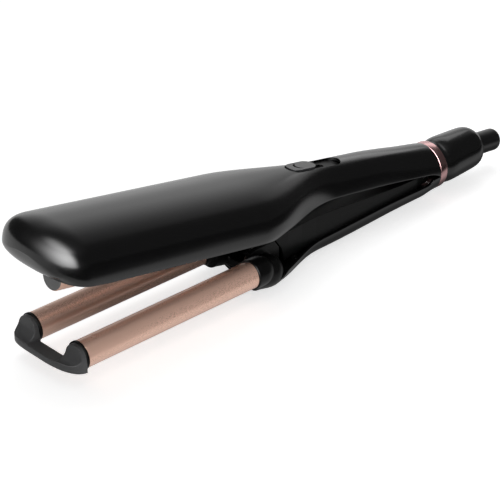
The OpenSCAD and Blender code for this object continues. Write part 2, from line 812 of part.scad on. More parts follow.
module rear_housing() {
    color(black)
        turned(0, ring_z)
            difference() {
                polygon(concat(
                    [[0, ring_x], [spigot_r, ring_x], [spigot_r, ring_back]],
                    [for (p = house_outline) [p[0], ring_back + p[1] * house_scale]],
                    [[0, house_end]]));
                translate([0, carrier_x0 - 0.3]) square([carrier_r + run_gap, far]);
                translate([0, ring_x + 3]) square([inlet_r + 1.5, far]);
            }
}

module trim_ring() {
    color(rose)
        difference() {
            rod(ring_x, ring_back - 0.1, ring_r, 0, ring_z);
            rod(ring_x - 1, ring_back + 1, spigot_r + seat_gap, 0, ring_z);
        }
}

module swivel_carrier() {
    color(dark)
        difference() {
            turned(0, pivot_z)
                difference() {
                    polygon([[0, carrier_x0], [carrier_r, carrier_x0], [carrier_r, carrier_end], [0, carrier_end]]);
                    polygon([[0, carrier_x0 - 1], [inlet_r + 0.6, carrier_x0 - 1], [inlet_r + 0.6, pivot_x - hub_r + 0.6],
                             [hub_r + slip, pivot_x - 2], [hub_r + slip, pivot_x + 1], [mouth_r, carrier_end], [mouth_r, far],
                             [0, far]]);
                }
            cross_rod(pivot_x, pivot_z, -far, far, trunnion_r + fixed_gap);
        }
}

trunnion_r = 1.2;
module swivel_pins() {
    color("silver")
        for (side = [-1, 1])
            cross_rod(pivot_x, pivot_z, side > 0 ? inlet_r + 0.8 : -carrier_r + 0.1,
                      side > 0 ? carrier_r - 0.1 : -inlet_r - 0.8, trunnion_r);
}

module droop() {
    translate([pivot_x, 0, pivot_z]) rotate([0, sleeve_droop, 0]) children();
}

module cord_sleeve() {
    color(black)
        droop()
            difference() {
                union() {
                    sphere(r = hub_r);
                    rotate([0, 90, 0])
                        rotate_extrude()
                            polygon(concat(
                                [[0, 0], [hub_r * 0.75, 0], [hub_r * 0.75, sleeve_front - 0.8], [sleeve_r - 0.4, sleeve_front],
                                 [sleeve_r, sleeve_front + 0.6]],
                                [for (i = [0 : 6])
                                    let (t = 15 * i)
                                        [sleeve_r - 0.4 - sleeve_round * (1 - cos(t)), sleeve_l - sleeve_round * (1 - sin(t))]],
                                [[0, sleeve_l]]));
                }
                rod(-hub_r - 1, sleeve_l + 1, inlet_r, 0, 0);
                cross_rod(0, 0, -far, far, trunnion_r + run_gap);
            }
}

// ---------------------------------------------------------------- placing

nose_open_x = hinge_x - (hinge_x + nose_reach) * cos(jaw_open) + (nose_z - hinge_z) * sin(jaw_open);
sleeve_end_x = pivot_x + sleeve_l * cos(sleeve_droop);
middle_x = (nose_open_x + sleeve_end_x) / 2;

module place() { translate([-middle_x, 0, heel_depth]) children(); }
module upper() { place() swing(jaw_open) children(); }

upper() head_cover();
upper() head_tray();
upper() upper_barrel();
upper() upper_barrel_cap();
upper() upper_barrel_clamp();
upper() upper_heater();
upper() upper_inner_cover();
upper() circuit_board();
upper() slide_switch();
upper() switch_guide();
upper() switch_button();
upper() hinge_block();
upper() cover_screws();
place() lower_shell();
place() lower_inner_cover();
place() barrel_fork();
place() near_barrel();
place() far_barrel();
place() near_heater();
place() far_heater();
place() tip_bridge();
place() tip_washers();
place() hinge_pin();
place() hinge_spring();
place() shell_screws();
place() rear_housing();
place() trim_ring();
place() swivel_carrier();
place() swivel_pins();
place() cord_sleeve();
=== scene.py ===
"""Hair waver: the looks of every visible piece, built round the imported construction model.

Lengths are in metres. Shapes are worked out in the arm frame: x = 0 at the front ends of the lower barrels,
z = 0 at their axes, +X towards the cord, with the jaws closed. arm_to_row() places the lower arm's points in
the row frame, and open_arm_to_row() also swings the upper arm's points open about the hinge.
"""

import json
import math

import bmesh
import bpy
import numpy as np
from bpy.props import FloatProperty, FloatVectorProperty, PointerProperty
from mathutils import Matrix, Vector


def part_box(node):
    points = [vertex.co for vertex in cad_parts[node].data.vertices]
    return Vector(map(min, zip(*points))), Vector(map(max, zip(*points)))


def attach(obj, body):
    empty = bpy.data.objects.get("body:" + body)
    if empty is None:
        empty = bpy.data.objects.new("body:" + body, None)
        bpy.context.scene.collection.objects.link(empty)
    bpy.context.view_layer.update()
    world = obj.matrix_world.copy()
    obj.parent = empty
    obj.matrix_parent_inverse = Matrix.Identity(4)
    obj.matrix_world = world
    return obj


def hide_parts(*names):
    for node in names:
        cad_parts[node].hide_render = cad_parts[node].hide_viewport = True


bl_info = {
    "name": "Hair waver",
    "version": (1, 0, 0),
    "blender": (4, 5, 0),
    "location": "View3D > Sidebar > Waver",
    "description": "Builds the visible surfaces and finishes of a hair waver, with its stage",
    "category": "Add Mesh",
}

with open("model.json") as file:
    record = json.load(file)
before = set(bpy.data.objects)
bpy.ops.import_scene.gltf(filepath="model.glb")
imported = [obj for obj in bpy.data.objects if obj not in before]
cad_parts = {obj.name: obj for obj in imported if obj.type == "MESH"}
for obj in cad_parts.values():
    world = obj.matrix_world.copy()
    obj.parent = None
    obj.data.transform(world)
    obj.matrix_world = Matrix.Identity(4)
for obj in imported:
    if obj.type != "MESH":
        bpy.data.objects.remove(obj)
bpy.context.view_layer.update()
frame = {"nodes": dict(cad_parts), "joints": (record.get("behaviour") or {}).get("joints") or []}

MM = 0.001
JOINTS = {joint["name"]: joint for joint in frame["joints"]}
NEAR_LOW, NEAR_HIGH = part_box("near_barrel")
FRONT_X = NEAR_LOW.x
AXIS_Z = (NEAR_LOW.z + NEAR_HIGH.z) / 2
BARREL_R = (NEAR_HIGH.z - NEAR_LOW.z) / 2
LOWER_Y = -(NEAR_LOW.y + NEAR_HIGH.y) / 2
OPEN_ANGLE = math.radians(JOINTS["jaw"]["range_deg"][1])
HINGE = Vector(JOINTS["jaw"]["pos_m"]) - Vector((FRONT_X, 0, AXIS_Z))
PIVOT = Vector(JOINTS["swivel_tilt"]["pos_m"]) - Vector((FRONT_X, 0, AXIS_Z))
RING_LOW, RING_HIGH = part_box("trim_ring")
RING_R = (RING_HIGH.z - RING_LOW.z) / 2
RING_Z = (RING_HIGH.z + RING_LOW.z) / 2 - AXIS_Z
RING_X = RING_LOW.x - FRONT_X
RING_BACK = RING_HIGH.x - FRONT_X
HOUSE_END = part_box("rear_housing")[1].x - FRONT_X

UPPER_BARREL_Z = -8.6 * MM
UPPER_BARREL_FRONT = -2.2 * MM
CAP_BEFORE_BARREL = 0.5 * MM
DIMPLES = (9 * MM, 106 * MM)
DIMPLE_R = 1.0 * MM
DIMPLE_DEPTH = 0.35 * MM


# ---------------------------------------------------------------- sizes and colours that a user would change


def length(name, text, default):
    return FloatProperty(name=name, description=text, default=default, unit="LENGTH", precision=4)


def colour(name, text, default):
    return FloatVectorProperty(
        name=name, description=text, default=default, subtype="COLOR", size=3, min=0, max=1
    )


class WaverShape(bpy.types.PropertyGroup):
    """Driving sizes of the waver's casings"""

    barrel_l: length("Barrel length", "Free length of the lower barrels", 0.115)
    head_half: length("Head half width", "Half width of the head", 0.0306)
    head_top: length("Head crown", "Height of the head's crown above the barrels' axes", 0.0216)
    nose_reach: length("Nose reach", "How far the nose reaches ahead of the barrels", 0.0224)
    nose_l: length("Nose length", "Length of the nose's rounding", 0.0196)
    nose_z: length("Nose height", "Height of the nose's foremost point", 0.0086)
    waist_z: length("Waist height", "Height of the head's widest level", 0.0048)
    rim_drop: length("Rim drop", "Depth of the head's rim below the barrels' axes", 0.0028)
    handle_half: length("Handle half width", "Half width of the handle", 0.0132)
    handle_rise: length("Handle rise", "Rise of the handle's crown above the head's", 0.0003)
    taper_l: length("Taper length", "Length of the taper from head to handle", 0.07)
    cover_wall: length("Cover wall", "Wall of the upper cover", 0.0016)
    fork_half: length("Fork half width", "Half width of the lower shell at the fork", 0.028)
    heel_depth: length("Heel depth", "Depth of the shell's bottom at the fork", 0.0158)
    belly_depth: length("Belly depth", "Depth of the shell's bottom at mid handle", 0.0152)
    shell_wall: length("Shell wall", "Wall of the lower shell", 0.0018)


class WaverFinish(bpy.types.PropertyGroup):
    """Colours of the waver's finishes"""

    casing: colour("Casing", "Moulded black casing", (0.0028, 0.0028, 0.0029))
    inner: colour("Inner plastic", "Heat-resistant black plastic", (0.002, 0.002, 0.002))
    tip: colour("Cool tip", "Dark plastic of the tip", (0.043, 0.043, 0.044))
    rose: colour("Rose coating", "Coating of the heated barrels", (0.62, 0.40, 0.315))
    trim: colour("Rose trim", "Metallic ring at the handle's end", (0.60, 0.36, 0.36))
    cap: colour("Barrel cap", "Disc in the upper barrel's end", (0.08, 0.08, 0.08))
    button: colour("Button", "Sliding button", (0.02, 0.02, 0.021))
    floor: colour("Floor", "Pale floor", (0.86, 0.86, 0.86))


# ---------------------------------------------------------------- numbers and curves


def clamp(t):
    return np.clip(t, 0.0, 1.0)


def mix(a, b, t):
    return a + (b - a) * t


def blend(x, x0, x1):
    """0 before x0 and 1 after x1, with level ends: 3t^2 - 2t^3."""
    t = clamp((x - x0) / (x1 - x0))
    return t * t * (3 - 2 * t)


def curve_through(points):
    """A function of x through the points: cubic pieces whose slopes are the harmonic means of their chords'."""
    px, pz = np.array(points, float).T
    chord = np.diff(pz) / np.diff(px)
    same = chord[1:] * chord[:-1] > 0
    inner = np.where(same, 2 * chord[1:] * chord[:-1] / np.where(same, chord[1:] + chord[:-1], 1), 0)
    slope = np.concatenate([chord[:1], inner, chord[-1:]])

    def curve(x):
        x = np.clip(x, px[0], px[-1])
        i = np.clip(np.searchsorted(px, x) - 1, 0, len(px) - 2)
        h = px[i + 1] - px[i]
        t = (x - px[i]) / h
        return (
            (2 * t**3 - 3 * t**2 + 1) * pz[i]
            + (t**3 - 2 * t**2 + t) * h * slope[i]
            + (3 * t**2 - 2 * t**3) * pz[i + 1]
            + (t**3 - t**2) * h * slope[i + 1]
        )

    return curve


def solve(function, low, high):
    """The x between low and high at which function changes sign, by halving the interval."""
    rising = function(low) < 0
    for _ in range(50):
        middle = (low + high) / 2
        if (function(middle) < 0) == rising:
            low = middle
        else:
            high = middle
    return (low + high) / 2


# ---------------------------------------------------------------- meshes


def arm_to_row(points):
    return np.asarray(points, float) + (FRONT_X, 0, AXIS_Z)


def open_arm_to_row(points):
    """Turns points of the closed upper arm about the hinge by the opening angle, then places them."""
    p = np.asarray(points, float) - np.array(HINGE)
    c, s = math.cos(OPEN_ANGLE), math.sin(OPEN_ANGLE)
    turned = np.stack([p[..., 0] * c + p[..., 2] * s, p[..., 1], p[..., 2] * c - p[..., 0] * s], -1)
    return arm_to_row(turned + np.array(HINGE))


def grid_quads(rows, cols, start=0):
    """Corner numbers of the cells of a grid with that many rows and columns of points."""
    corner = (np.arange(rows - 1)[:, None] * cols + np.arange(cols - 1)).ravel() + start
    return np.stack([corner, corner + 1, corner + cols + 1, corner + cols], -1)


def build_mesh(name, grids, place=arm_to_row, sharp=35):
    """One object from grids of points (rows, columns, 3): doubles are merged and faces turned outwards."""
    points = np.concatenate([g.reshape(-1, 3) for g in grids])
    starts = np.cumsum([0] + [g.shape[0] * g.shape[1] for g in grids])
    quads = np.concatenate([grid_quads(g.shape[0], g.shape[1], k) for g, k in zip(grids, starts)])
    mesh = bpy.data.meshes.new(name)
    mesh.from_pydata(place(points), [], quads)
    work = bmesh.new()
    work.from_mesh(mesh)
    bmesh.ops.remove_doubles(work, verts=work.verts, dist=2e-6)
    bmesh.ops.dissolve_degenerate(work, edges=work.edges, dist=1e-7)
    bmesh.ops.recalc_face_normals(work, faces=work.faces)
    if work.calc_volume(signed=True) < 0:
        bmesh.ops.reverse_faces(work, faces=work.faces)
    work.to_mesh(mesh)
    work.free()
    return shade(link(name, mesh), sharp)


def link(name, data):
    piece = bpy.data.objects.new(name, data)
    bpy.context.scene.collection.objects.link(piece)
    return piece


def shade(piece, sharp):
    """Smooth faces, with edges sharper than the angle left crisp."""
    mesh = piece.data
    mesh.polygons.foreach_set("use_smooth", np.ones(len(mesh.polygons), bool))
    mesh.set_sharp_from_angle(angle=math.radians(sharp))
    return piece


def apply_modifiers(piece, sharp=35):
    """Bakes the piece's modifiers into its mesh."""
    graph = bpy.context.evaluated_depsgraph_get()
    solid = bpy.data.meshes.new_from_object(piece.evaluated_get(graph))
    piece.modifiers.clear()
    piece.data = solid
    return shade(piece, sharp)


def cut(piece, cutter):
    """Takes the cutter's volume out of the piece and removes the cutter."""
    modifier = piece.modifiers.new("cut", "BOOLEAN")
    modifier.operation = "DIFFERENCE"
    modifier.solver = "EXACT"
    modifier.object = cutter
    apply_modifiers(piece)
    bpy.data.objects.remove(cutter)
    return piece


def lip(first, second, out, bulge, steps=8, power=3):
    """A strip from the polyline first to the polyline second that swells by bulge along out: across the strip,
    f runs from 0 to 1 and the swell is (1 - |2f - 1|^power)^(1/power)."""
    turn = np.linspace(0, math.pi, steps + 1)[:, None, None]
    f = (1 - np.cos(turn)) / 2
    swell = (1 - np.abs(2 * f - 1) ** power) ** (1 / power)
    return first[None] + (second - first)[None] * f + np.asarray(out) * bulge * swell


def revolve(profile, y, z, around=96):
    """Turns a profile of (x, radius) about an axis along X: (x, y + r cos a, z + r sin a)."""
    profile = np.array(profile, float)
    angle = np.linspace(0, 2 * math.pi, around + 1)
    x = np.repeat(profile[:, :1], around + 1, 1)
    r = profile[:, 1:]
    return np.stack([x, y + r * np.cos(angle), z + r * np.sin(angle)], -1)


def arc(x, r, radius, start, end, steps):
    """Points of a circle about (x, r), from the angle start to end in degrees."""
    a = np.radians(np.linspace(start, end, steps + 1))
    return [(x + radius * math.cos(t), r + radius * math.sin(t)) for t in a]


def prism(name, outline, low, high, place=arm_to_row, axis=2):
    """A straight solid over an outline in the plane across the axis (0, 1 or 2), from low to high."""
    outline = np.array(outline, float)
    n = len(outline)
    rings = []
    for level in (low, high):
        rings.append(np.insert(outline, axis, level, axis=1))
    points = place(np.concatenate(rings))
    sides = [(i, (i + 1) % n, n + (i + 1) % n, n + i) for i in range(n)]
    mesh = bpy.data.meshes.new(name)
    mesh.from_pydata(points, [], sides + [tuple(range(n - 1, -1, -1)), tuple(range(n, 2 * n))])
    work = bmesh.new()
    work.from_mesh(mesh)
    bmesh.ops.recalc_face_normals(work, faces=work.faces)
    work.to_mesh(mesh)
    work.free()
    return shade(link(name, mesh), 35)


def joined(name, pieces):
    """Joins separate meshes into one object."""
    work = bmesh.new()
    for piece in pieces:
        work.from_mesh(piece.data)
    mesh = bpy.data.meshes.new(name)
    work.to_mesh(mesh)
    work.free()
    for piece in pieces:
        bpy.data.objects.remove(piece)
    return shade(link(name, mesh), 35)


def slot_outline(x0, x1, width, steps=14):
    """A slot with round ends, as points in plan."""
    r = width / 2
    a = np.linspace(-math.pi / 2, math.pi / 2, steps + 1)
    rear = np.stack([x1 - r + r * np.cos(a), r * np.sin(a)], -1)
    front = np.stack([x0 + r - r * np.cos(a), -r * np.sin(a)], -1)
    return np.concatenate([rear, front])


# ---------------------------------------------------------------- materials


class Sock:
    """A node's output socket that takes part in Python expressions."""

    def __init__(self, tree, socket):
        self.tree = tree
        self.socket = socket

    def math(self, operation, a, b):
        node = self.tree.nodes.new("ShaderNodeMath")
        node.operation = operation
        for i, value in enumerate((a, b)):
            if isinstance(value, Sock):
                self.tree.links.new(value.socket, node.inputs[i])
            else:
                node.inputs[i].default_value = value
        return Sock(self.tree, node.outputs[0])

    def __add__(self, other):
        return self.math("ADD", self, other)

    def __radd__(self, other):
        return self.math("ADD", other, self)

    def __sub__(self, other):
        return self.math("SUBTRACT", self, other)

    def __rsub__(self, other):
        return self.math("SUBTRACT", other, self)

    def __mul__(self, other):
        return self.math("MULTIPLY", self, other)

    def __rmul__(self, other):
        return self.math("MULTIPLY", other, self)

    def __truediv__(self, other):
        return self.math("DIVIDE", self, other)

    def __pow__(self, other):
        return self.math("POWER", self, other)

    def clipped(self):
        return self.math("MINIMUM", self.math("MAXIMUM", self, 0.0), 1.0)

    def ramp(self, low, high):
        """0 at low and 1 at high, smooth between."""
        t = ((self - low) / (high - low)).clipped()
        return t * t * (3.0 - 2.0 * t)


class Shader:
    """One material or world, whose nodes are made by calls."""

    def __init__(self, tree):
        self.tree = tree
        tree.nodes.clear()

    def node(self, kind, settings=(), **inputs):
        """A node with its settings and a value or link for each socket, by name or by number as i0, i1, ..."""
        node = self.tree.nodes.new(kind)
        for key, value in dict(settings).items():
            setattr(node, key, value)
        for key, value in inputs.items():
            by_number = key[0] == "i" and key[1:].isdigit()
            socket = node.inputs[int(key[1:]) if by_number else key.replace("_", " ")]
            if isinstance(value, Sock):
                self.tree.links.new(value.socket, socket)
            else:
                socket.default_value = value
        return node

    def out(self, node, name=0):
        return Sock(self.tree, node.outputs[name])

    def position(self):
        return self.out(self.node("ShaderNodeTexCoord"), "Object")

    def parts(self, vector):
        node = self.node("ShaderNodeSeparateXYZ", i0=vector)
        return [self.out(node, i) for i in range(3)]

    def noise(self, vector, scale, detail=2.0, roughness=0.5):
        node = self.node("ShaderNodeTexNoise", Vector=vector, Scale=scale, Detail=detail, Roughness=roughness)
        return self.out(node, 0)

    def stretched(self, vector, scale):
        node = self.node("ShaderNodeVectorMath", {"operation": "MULTIPLY"}, i0=vector, i1=scale)
        return self.out(node, 0)

    def colours(self, fac, a, b):
        node = self.node("ShaderNodeMix", {"data_type": "RGBA"})
        for index, value in ((0, fac), (6, a), (7, b)):
            if isinstance(value, Sock):
                self.tree.links.new(value.socket, node.inputs[index])
            else:
                node.inputs[index].default_value = (*value, 1)
        return Sock(self.tree, node.outputs[2])

    def bump(self, height, strength, distance):
        node = self.node("ShaderNodeBump", Height=height, Strength=strength, Distance=distance)
        return self.out(node, 0)

    def surface(self, **inputs):
        shader = self.node("ShaderNodeBsdfPrincipled", **inputs)
        self.finish(shader.outputs[0])

    def finish(self, socket, kind="ShaderNodeOutputMaterial"):
        out = self.tree.nodes.new(kind)
        self.tree.links.new(socket, out.inputs[0])


def new_material(name):
    material = bpy.data.materials.new(name)
    material.use_nodes = True
    return material, Shader(material.node_tree)


def moulded(name, base, roughness, spread, grain, depth, ior=1.5):
    """Moulded plastic: soft clouds in the gloss and a fine grain in the relief."""
    material, s = new_material(name)
    where = s.position()
    cloud = s.noise(where, 60.0, 3.0)
    fine = s.noise(where, grain, 2.0)
    tint = s.colours(cloud, [c * 0.85 for c in base], [min(1, c * 1.15) for c in base])
    s.surface(
        Base_Color=tint,
        Roughness=roughness + spread * (cloud - 0.5) + 0.4 * spread * (fine - 0.5),
        IOR=ior,
        Normal=s.bump(fine, 0.35, depth),
    )
    return material


def coated_metal(name, base, roughness, metallic=1.0):
    """Satin metallic coating on a drawn tube: long faint streaks along X and fine sparkle in the gloss."""
    material, s = new_material(name)
    where = s.position()
    streak = s.noise(s.stretched(where, (2.0, 30.0, 30.0)), 5.0, 1.0)
    spark = s.noise(where, 2600.0, 1.0)
    tone = s.noise(where, 35.0, 2.0)
    tint = s.colours(tone, [c * 0.96 for c in base], [min(1, c * 1.04) for c in base])
    s.surface(
        Base_Color=tint,
        Metallic=metallic,
        Roughness=roughness + 0.04 * (streak - 0.5) + 0.04 * (spark - 0.5),
        Normal=s.bump(spark, 0.05, 0.00001),
    )
    return material


def finish_piece(piece, body, slot, material, *nodes):
    """Gives a piece its material and the body that it rides on, and hides the CAD nodes that it replaces. The
    slot is not used.
    """
    piece.data.materials.clear()
    piece.data.materials.append(material)
    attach(piece, body)
    if nodes:
        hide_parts(*nodes)
    return piece


def paint_node(node, material):
    """Gives a CAD node that stays visible its finish."""
    solid = frame["nodes"][node]
    for slot in solid.material_slots:
        slot.link = "DATA"
        slot.material = material
    if not solid.material_slots:
        solid.data.materials.append(material)


# ---------------------------------------------------------------- casings


def superellipse(x, t, half, zc, up, down, power):
    """(x, -half c, zc + up s or down s) with c = |cos t|^(2/power) and s = |sin t|^(2/power), signs kept."""
    c = np.sign(np.cos(t)) * np.abs(np.cos(t)) ** (2 / power)
    s = np.sign(np.sin(t)) * np.abs(np.sin(t)) ** (2 / power)
    return np.stack([x + 0 * t, -half * c, zc + np.where(s > 0, up, down) * s], -1)


class Section:
    """A casing whose section at x is given by numbers() and ends at the height edge(x)."""

    def rim_angle(self, x, inset):
        """The angle at which the section meets the edge line; -90 degrees where it stays above it."""
        _, zc, up, down, power = self.numbers(x, inset)
        h = self.edge(x) - zc
        share = clamp(np.where(h > 0, h / up, -h / down))
        return np.where(h > 0, 1, -1) * np.arcsin(share ** (power / 2))


class Cover(Section):
    """The upper cover's section at x: a superellipse that widens from the nose, tapers to the handle and
    ends as the ring's circle."""

    NOSE_WIDE = 2.28
    NOSE_TALL = 2.47
    CHIN_L = 7 * MM
    RIM_RISE = 1.4 * MM
    HEAD_POWER = 2.5
    HANDLE_POWER = 2.35
    UNDER = 0.020

    def __init__(self, shape):
        self.s = shape
        self.taper = (shape.barrel_l, shape.barrel_l + shape.taper_l)
        self.end_x = RING_X - 0.3 * MM
        ring_top = RING_Z + RING_R
        c, s = math.cos(OPEN_ANGLE), math.sin(OPEN_ANGLE)
        self.end_crown = HINGE.z + (ring_top - HINGE.z) * c + (self.end_x - HINGE.x) * s
        rim = -shape.rim_drop
        self.nose_rim = rim + self.RIM_RISE
        front = -shape.nose_reach + self.CHIN_L
        edge = [(front - 0.1, self.nose_rim), (front, self.nose_rim), (0, mix(self.nose_rim, rim, 0.6))]
        edge += [(12 * MM, rim), (shape.barrel_l, rim)]
        corner = shape.barrel_l + 8 * MM
        # Millimetres behind the corner, and ahead of or behind the hinge, with the rise above the rim
        steps = [(0, 0.05), (2, 0.5), (5, 1.6), (12, 3.2), (26, 5.2), (45, 6.9), (75, 8.2)]
        edge += [(corner + dx * MM, rim + dz * MM) for dx, dz in steps]
        hinge = [(-18, 8.7), (-7, 8.6), (-2, 7.8), (2, 6.8), (4, 6.4), (30, 6.4)]
        edge += [(HINGE.x + dx * MM, rim + dz * MM) for dx, dz in hinge]
        self.edge = curve_through(edge)

    def swell(self, x, inset, power):
        s = clamp((self.s.nose_l - self.s.nose_reach + inset - x) / self.s.nose_l)
        return (1 - s**power) ** (1 / power)

    def half(self, x):
        wide = mix(self.s.head_half, self.s.handle_half, blend(x, *self.taper))
        return mix(wide, RING_R, blend(x, HINGE.x - 40 * MM, HINGE.x + 5 * MM))

    def crown(self, x):
        rise = self.s.head_top + self.s.handle_rise * blend(x, self.s.barrel_l, self.s.barrel_l + 40 * MM)
        return mix(rise, self.end_crown, blend(x, self.s.barrel_l + 97 * MM, HINGE.x + 21 * MM))

    def waist(self, x):
        return mix(self.s.waist_z, RING_Z, blend(x, *self.taper))

    def chin(self, x, middle, inset):
        """Depth of the section below its widest level: it curves down to the rim along the chin, then falls."""
        back = x + self.s.nose_reach - inset
        d = clamp(back / self.CHIN_L)
        low = mix(self.s.nose_z, self.nose_rim, (1 - (1 - d) ** 1.8) ** 0.87)
        return middle - low + np.maximum(back - self.CHIN_L, 0)

    def numbers(self, x, inset):
        """half, zc, up, down and power of the section at x."""
        tall = self.swell(x, inset, self.NOSE_TALL)
        wide = self.swell(x, inset, self.NOSE_WIDE)
        waist = self.waist(x)
        under = mix(self.UNDER, RING_R, blend(x, self.s.barrel_l - 5 * MM, self.s.barrel_l + 25 * MM))
        round_end = mix(self.HANDLE_POWER, 2, blend(x, HINGE.x - 60 * MM, HINGE.x))
        power = mix(self.HEAD_POWER, round_end, blend(x, *self.taper))
        middle = mix(self.s.nose_z, waist, tall)
        return (
            (self.half(x) - inset) * wide,
            middle,
            np.maximum((self.crown(x) - waist - inset) * tall, 1e-9),
            np.maximum(np.minimum(self.chin(x, middle, inset), under), 1e-9),
            power,
        )

    def stations(self, inset):
        """x of the rows: dense round the nose and where the rim opens at the centre line."""
        tip = -self.s.nose_reach + inset
        opens = tip + self.CHIN_L
        turn = np.linspace(0, 1, 40)[:-1]
        nose = tip + (opens - tip) * turn**2
        near = opens + 14 * MM * np.linspace(0, 1, 40) ** 2
        rest = near[-1] + (self.end_x + 1.5 * MM - near[-1]) * np.linspace(0, 1, 170)[1:]
        return nose, np.concatenate([near, rest])

    def grid(self, inset, columns):
        nose, body = self.stations(inset)
        x = np.concatenate([nose, body])[:, None]
        numbers = self.numbers(x, inset)
        start = self.rim_angle(x, inset)
        start[: len(nose) + 1] = -math.pi / 2
        across = np.linspace(0, 1, columns)
        t = mix(start, math.pi - start, across)
        points = superellipse(x, t, *numbers)
        # The rear end lies in the upright plane ahead of the ring once the jaws are open
        lean = (points[..., 2] - HINGE.z) * math.tan(OPEN_ANGLE)
        plane = HINGE.x + (self.end_x - HINGE.x) / math.cos(OPEN_ANGLE) - lean
        share = blend(x, self.end_x - 25 * MM, self.end_x + 1.5 * MM)
        points[..., 0] = mix(points[..., 0], plane, share)
        return points, len(nose)


def rim_line(grid, first):
    """The grid's free edge: from the rear along the near side, round the front and back on the far side."""
    near = grid[first:, 0][::-1]
    far = grid[first + 1 :, -1]
    return np.concatenate([near, far])


def make_head_cover(shape):
    cover = Cover(shape)
    outer, first = cover.grid(0.0, 161)
    inner, inner_first = cover.grid(shape.cover_wall, 161)
    rim = lip(rim_line(outer, first), rim_line(inner, inner_first), (0, 0, -1), 0.45 * MM)
    tail = lip(outer[-1], inner[-1], (1, 0, 0), 0.25 * MM)
    return build_mesh("head_cover_skin", [outer, inner, rim, tail], open_arm_to_row), cover


class Well:
    """The recess on the crown in which the button slides, in its own plane: u along the travel."""

    def __init__(self, shape, cover):
        self.l = 40 * MM
        self.w = 10.6 * MM
        self.depth = 2.2 * MM
        self.x = shape.barrel_l + 41 * MM + self.l / 2
        self.z = float(cover.crown(np.array(self.x)))
        drop = cover.crown(np.array(self.x - self.l / 2)) - cover.crown(np.array(self.x + self.l / 2))
        self.tilt = math.atan(float(drop) / self.l)

    def to_row(self, points):
        """From the well's plane to the row frame."""
        p = np.asarray(points, float)
        c, s = math.cos(self.tilt), math.sin(self.tilt)
        x = self.x + p[..., 0] * c + p[..., 2] * s
        z = self.z + p[..., 2] * c - p[..., 0] * s
        return open_arm_to_row(np.stack([x, p[..., 1], z], -1))


class Shell(Section):
    """The lower shell's section at x: an ellipse that narrows from the fork to the handle and ends as the
    ring's circle, kept below its rim line."""

    def __init__(self, shape):
        self.s = shape
        b = shape.barrel_l
        self.end_x = RING_X
        rim = [(b + 12 * MM, -20 * MM), (b + 15.5 * MM, -9 * MM), (b + 19 * MM, -5.5 * MM)]
        rim += [(b + 24 * MM, float(self.middle(b + 24 * MM)))]
        for i in range(1, 9):
            x = mix(b + 24 * MM, HINGE.x - 4 * MM, i / 8)
            rim.append((x, float(self.middle(x))))
        rim += [(HINGE.x - 1 * MM, -0.4 * MM), (HINGE.x + 0.6 * MM, 0.4 * MM), (HINGE.x + 1.6 * MM, 1.5 * MM)]
        rim += [(HINGE.x + 30 * MM, 1.5 * MM)]
        self.edge = curve_through(rim)

    def half(self, x):
        b = self.s.barrel_l
        wide = mix(self.s.fork_half, self.s.handle_half, blend(x, b + 7 * MM, b + 63 * MM))
        return mix(wide, RING_R, blend(x, HINGE.x - 40 * MM, HINGE.x + 5 * MM))

    def middle(self, x):
        b = self.s.barrel_l
        front = mix(-3.4 * MM, -4 * MM, blend(x, b + 15 * MM, b + 35 * MM))
        rear = mix(-1.1 * MM, RING_Z, blend(x, HINGE.x - 6 * MM, RING_X))
        return mix(front, rear, blend(x, b + 40 * MM, HINGE.x - 5 * MM))

    def bottom(self, x):
        b = self.s.barrel_l
        depth = mix(self.s.heel_depth, self.s.belly_depth, blend(x, b + 15 * MM, b + 40 * MM))
        return -mix(depth, RING_R - RING_Z, blend(x, b + 65 * MM, RING_X + 10 * MM))

    def numbers(self, x, inset):
        middle = self.middle(x)
        return self.half(x) - inset, middle, RING_R + 0 * x, middle - self.bottom(x) - inset, 2.0

    def grid(self, inset, columns):
        b = self.s.barrel_l
        opens = solve(lambda x: self.rim_angle(x, inset) + math.pi / 2 - 1e-6, b + 12 * MM, b + 16 * MM)
        near = opens + 12 * MM * np.linspace(0, 1, 30) ** 2
        rest = near[-1] + (self.end_x - near[-1]) * np.linspace(0, 1, 150)[1:]
        x = np.concatenate([near, rest])[:, None]
        start = self.rim_angle(x, inset)
        start[0] = -math.pi / 2
        across = np.linspace(0, 1, columns)
        t = mix(start, -math.pi - start, across)
        return superellipse(x, t, *self.numbers(x, inset))


def make_lower_shell(shape):
    shell = Shell(shape)
    outer = shell.grid(0.0, 121)
    inner = shell.grid(shape.shell_wall, 121)
    rim = lip(rim_line(outer, 0), rim_line(inner, 0), (0, 0, 1), 0.3 * MM)
    rear = lip(outer[-1], inner[-1], (1, 0, 0), 0.0)
    return build_mesh("lower_shell_skin", [outer, inner, rim, rear])


# ---------------------------------------------------------------- fork, tip and barrels


def domed(x0, x1, dome_l, r0, r1, y, z):
    """A solid of revolution along X: a rounded front at x0, a radius that blends from r0 to r1 and an elliptic
    dome of the given length behind x1."""
    body = [(v, mix(r0, r1, float(blend(v, x0, x1)))) for v in np.linspace(x0 + 0.7 * MM, x1, 16)]
    turn = np.radians(np.linspace(5, 90, 18))
    dome = [(x1 + dome_l * math.sin(t), r1 * math.cos(t)) for t in turn]
    front = [(x0, 0), (x0, r0 - 0.7 * MM)] + arc(x0 + 0.7 * MM, r0 - 0.7 * MM, 0.7 * MM, 170, 100, 4)
    return build_mesh("domed", [revolve(front + body + dome, y, z)])


